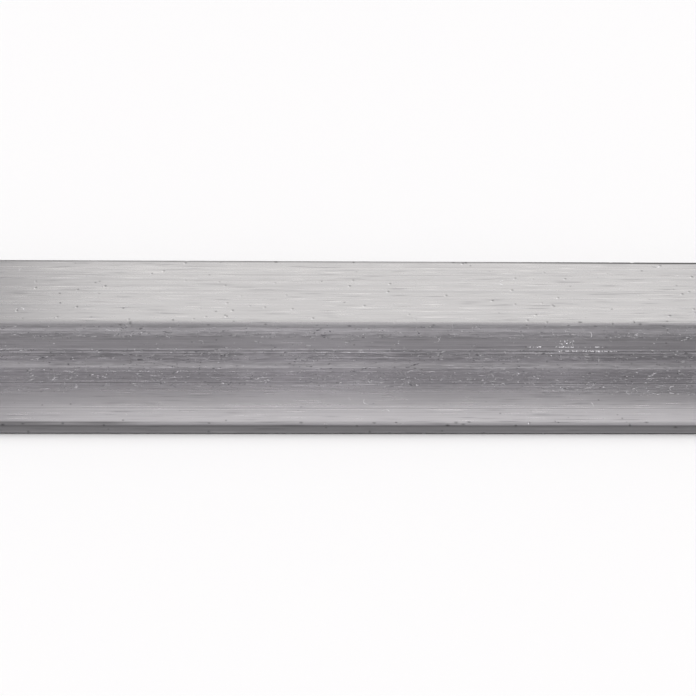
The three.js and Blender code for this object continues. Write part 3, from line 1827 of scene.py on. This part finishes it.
@dataclass(frozen=True)
class Studio:
    """The pale floor, the soft lamps, the dim room and the camera.

    Attributes:
        floor_colour: the floor's matt paint.
        floor_reach: half the floor's width, in metres.
        room_colour: the even light from all round.
        lamps: the softboxes.
        elevation: the camera's height above the horizon, in degrees.
        yaw: how far it looks towards +X from straight across the bar, in degrees.
        roll: how far the camera is turned about its own axis, in degrees.
        distance: from the camera to the point it looks at, in metres.
        aim: that point.
        focal_length: in millimetres.
        sensor_width: in millimetres.
        view_range: nearest and farthest distance that the camera sees, in metres.
    """

    floor_colour: str = "#f8f8f8"
    floor_reach: float = 8.0
    room_colour: str = "#c0bebf"
    lamps: tuple[SoftLamp, ...] = (
        SoftLamp("rear_panel", (0.135, 1.13, 1.09), (0.60, 1.03), power=1.24, colour="#fffefa"),
        SoftLamp("left_wing", (-1.2, -0.1, 0.75), (1.3, 1.3), power=12.0),
        SoftLamp("right_wing", (1.2, -0.1, 0.75), (1.3, 1.3), power=12.0),
    )
    elevation: float = 38.984
    yaw: float = 3.76
    roll: float = 2.495
    distance: float = 0.377703
    aim: tuple[float, float, float] = (0.0, -0.001, 0.005384)
    focal_length: float = 134.48
    sensor_width: float = 36.0
    view_range: tuple[float, float] = (0.01, 100.0)

    def build_floor(self) -> bpy.types.Object:
        """Makes the floor.

        Returns:
            The floor, just under the bar.
        """
        r = self.floor_reach
        mesh = bpy.data.meshes.new("floor")
        mesh.from_pydata([(-r, -r, 0), (r, -r, 0), (r, r, 0), (-r, r, 0)], [], [(0, 1, 2, 3)])
        floor = bpy.data.objects.new("floor", mesh)
        bpy.context.scene.collection.objects.link(floor)
        # Matt paint gives an even white, with the bar's soft shadow on it but no mirror image.
        paint = bpy.data.materials.new("matt_white_floor_paint")
        paint.use_nodes = True
        shader = paint.node_tree.nodes["Principled BSDF"]
        shader.inputs["Base Color"].default_value = linear(self.floor_colour)
        shader.inputs["Roughness"].default_value = 1.0
        shader.inputs["Specular IOR Level"].default_value = 0.0
        mesh.materials.append(paint)
        return floor

    def light(self) -> None:
        """Hangs the lamps and sets the even light of the room."""
        for lamp in self.lamps:
            lamp.hang()
        world = bpy.data.worlds.new("room")
        world.use_nodes = True
        world.node_tree.nodes["Background"].inputs["Color"].default_value = linear(self.room_colour)
        bpy.context.scene.world = world

    def place_camera(self) -> None:
        """Puts the camera in front of the bar and looks down on it."""
        camera = bpy.data.cameras.new("camera")
        camera.sensor_width = self.sensor_width
        camera.lens = self.focal_length
        camera.clip_start, camera.clip_end = self.view_range
        holder = bpy.data.objects.new("camera", camera)
        tilt = math.radians(self.elevation)
        yaw = math.radians(self.yaw)
        level = math.cos(tilt)
        back = Vector((-math.sin(yaw) * level, -math.cos(yaw) * level, math.sin(tilt)))
        place = Vector(self.aim) + self.distance * back
        turn = back.to_track_quat("Z", "Y").to_matrix().to_4x4()
        roll = Matrix.Rotation(math.radians(self.roll), 4, "Z")
        holder.matrix_world = Matrix.Translation(place) @ turn @ roll
        bpy.context.scene.collection.objects.link(holder)
        bpy.context.scene.camera = holder


def report(piece: bpy.types.Object) -> None:
    """Logs a piece's name and size."""
    triangles = sum(len(polygon.vertices) - 2 for polygon in piece.data.polygons)
    LOG.info("%s: %d points, %d triangles", piece.name, len(piece.data.vertices), triangles)


def die_lines() -> DieLines:
    """Sets the bar's die lines.

    Returns:
        The lines, with the strong ones of the two faces that meet in the front root.
    """
    return DieLines(
        marked={
            Face.WEB_FRONT: (
                Groove(2.54, 0.34, 0.016, 0.85),
                Groove(4.13, 0.20, -0.006, 1.12),
                Groove(4.94, 0.24, -0.014, 1.32),
                Groove(5.22, 0.26, 0.030, 0.66),
                Groove(5.50, 0.24, -0.014, 1.30),
                Groove(5.76, 0.24, 0.014, 0.86),
            ),
            Face.SEAT: (
                Groove(3.60, 0.22, -0.010, 1.12),
                Groove(3.86, 0.26, 0.018, 0.56),
                Groove(4.10, 0.20, -0.006, 1.12),
                Groove(8.55, 0.26, 0.016, 0.91),
                Groove(8.98, 0.26, 0.008, 0.96),
                Groove(9.23, 0.20, -0.008, 1.10),
                Groove(9.46, 0.24, 0.018, 0.80),
                Groove(9.74, 0.24, -0.012, 1.10),
                Groove(10.02, 0.26, 0.014, 0.91),
                Groove(10.4, 0.28, 0.010, 0.92),
            ),
        }
    )


def edge_nicks() -> EdgeNicks:
    """Sets the nicks of the bar's edges.

    Returns:
        The nicks, with a long stretch of painted shade along the far top edge and a knocked stretch
        on the lower toe's edge.
    """
    # Painted shade: two shallow stretches that darken the far top edge over its right part.
    far_edge_shade = (
        Nick(x=46.0, half_length=34.0, along=0.22, half_width=0.50, depth=0.005),
        Nick(x=54.0, half_length=38.0, along=0.28, half_width=0.38, depth=0.003),
    )
    knocked = (
        Nick(x=-47.0, half_length=13.0, along=-0.22, half_width=0.52, depth=0.11),
        Nick(x=-35.0, half_length=7.0, along=-0.22, half_width=0.48, depth=0.05),
    )
    return EdgeNicks(marked={Face.TOP.value: far_edge_shade, Face.LOWER_TOE.value: knocked})


def die_bands() -> tuple[DieBand, ...]:
    """The bands that the die leaves its own way.

    Returns:
        The bands of all the faces. Where two overlap, both count.
    """
    return (
        # The web's front, from its heel down to the root.
        DieBand(Face.WEB_FRONT, 0.2, 2.9, pickup=0.5, tone=0.87, scoring=2.5),
        DieBand(Face.WEB_FRONT, 0.56, 1.0, tone=0.77, ramp_mm=0.15),
        DieBand(Face.WEB_FRONT, 1.0, 1.6, tone=1.15, ramp_mm=0.2),
        DieBand(Face.WEB_FRONT, 1.7, 2.9, pickup=0.9, scoring=2.0),
        DieBand(Face.WEB_FRONT, 2.6, 3.3, tone=0.89, ramp_mm=0.12),
        DieBand(Face.WEB_FRONT, 2.6, 4.9, pickup=0.1, tone=0.77, scoring=2.5, ramp_mm=0.2),
        DieBand(Face.WEB_FRONT, 4.7, 7.2, pickup=1.0, tone=0.97, scoring=5.0),
        DieBand(Face.WEB_FRONT, 5.62, 6.25, tone=0.90, ramp_mm=0.1),
        # The seat, from the root to its front edge, and the front edge of the top.
        DieBand(Face.SEAT, 0.5, 5.0, pickup=0.55, tone=1.09, scoring=5.0, ramp_mm=0.5),
        DieBand(Face.SEAT, 5.6, 12.6, tone=0.97, scoring=0.7),
        DieBand(Face.SEAT, 6.2, 8.6, tone=0.91, ramp_mm=0.7),
        DieBand(Face.SEAT, 7.8, 13.0, tone=0.978, ramp_mm=0.6),
        DieBand(Face.SEAT, 12.0, 13.0, tone=0.975, ramp_mm=0.25),
        DieBand(Face.TOP, 14.1, 15.0, tone=0.93, ramp_mm=0.25),
        # Fresh grains, in rows along short stretches of the web's front.
        DieBand(Face.WEB_FRONT, 4.3, 4.45, fresh=1.0, ramp_mm=0.05, stretch_mm=(26.2, 28.2)),
        DieBand(Face.WEB_FRONT, 4.3, 4.45, fresh=1.0, ramp_mm=0.05, stretch_mm=(30.3, 33.2)),
        DieBand(Face.WEB_FRONT, 4.3, 4.45, fresh=0.3, ramp_mm=0.05, stretch_mm=(33.2, 39.0)),
        DieBand(Face.WEB_FRONT, 5.05, 5.2, fresh=1.0, ramp_mm=0.05, stretch_mm=(30.3, 39.3)),
        DieBand(Face.WEB_FRONT, 3.0, 4.2, fresh=0.12, ramp_mm=0.05, stretch_mm=(30.5, 33.5)),
        # Pick-up that spreads further over two stretches of the seat.
        DieBand(Face.SEAT, 4.6, 6.6, pickup=0.6, ramp_mm=0.3, stretch_mm=(28.0, 52.0)),
        DieBand(Face.SEAT, 4.6, 6.2, pickup=0.6, ramp_mm=0.3, stretch_mm=(-55.0, -40.0)),
        # The two faces of the rear root.
        DieBand(Face.WEB_REAR, 4.5, 6.5, pickup=0.5, tone=0.93, scoring=2.0),
        DieBand(Face.LEDGE, 2.0, 5.0, pickup=0.3, scoring=2.0),
    )


def raised_marks() -> tuple[SurfaceMarks, SurfaceMarks, SurfaceMarks]:
    """The small marks that stand up from the bar's skin.

    Returns:
        Specks that the die picked up, scratches from handling, and rows of fresh grains.
    """
    return (
        SurfaceMarks(
            name="pickup_specks",
            shape=MarkShape.GRAIN,
            weight="pickup",
            per_mm2=7.0,
            length_mm=0.29,
            width_mm=0.135,
            height_mm=0.08,
            smear=4.0,
            swing=(0.3, 0.2, 0.35),
            cluster_mm=3.0,
            raggedness_mm=0.05,
            seed=23,
        ),
        SurfaceMarks(
            name="handling_scratches",
            shape=MarkShape.BURR,
            weight="handled",
            per_mm2=0.03,
            length_mm=0.7,
            width_mm=0.5,
            height_mm=0.3,
            smear=1.0,
            swing=(0.05, 0.05, math.pi),
            cluster_mm=14.0,
            raggedness_mm=0.03,
            seed=29,
        ),
        SurfaceMarks(
            name="fresh_grains",
            shape=MarkShape.GRAIN,
            weight="fresh",
            per_mm2=150.0,
            length_mm=0.24,
            width_mm=0.23,
            height_mm=0.12,
            smear=1.5,
            swing=(0.2, 0.2, 0.5),
            cluster_mm=0.8,
            raggedness_mm=0.05,
            seed=53,
        ),
    )


def main() -> None:
    """Builds the bar, the raised marks on it and the studio around it."""
    logging.basicConfig(level=logging.INFO, format="%(name)s: %(message)s")
    low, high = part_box(NODE)
    length_mm, width_mm, height_mm = ((b - a) / MM for a, b in zip(low, high))
    bar_maker = Bar(
        length_mm=length_mm,
        section=ZeeSection(width=width_mm, height=height_mm),
        lines=die_lines(),
        nicks=edge_nicks(),
        bands=die_bands(),
    )
    bar = bar_maker.build()
    bar_maker.dress(bar, MillFinish().material(), SawnFinish().material())
    report(bar)

    torn = TornFinish().material()
    # Its darker colour is oxide and painted shade as well.
    freshly_torn = TornFinish(
        name="freshly_torn_aluminium", fresh="#eeedef", oxide_and_painted_shade="#d6d5d7", roughness=0.45
    ).material()
    specks, scratches, grains = raised_marks()
    pieces = [bar]
    for marks, material in ((specks, torn), (scratches, freshly_torn), (grains, freshly_torn)):
        piece = marks.build(bar, material)
        report(piece)
        pieces.append(piece)

    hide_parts(NODE)
    for piece in pieces:
        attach(piece, BODY)

    studio = Studio()
    studio.build_floor()
    studio.light()
    studio.place_camera()
    bpy.context.scene.view_settings.view_transform = "Standard"


if __name__ == "__main__":
    main()
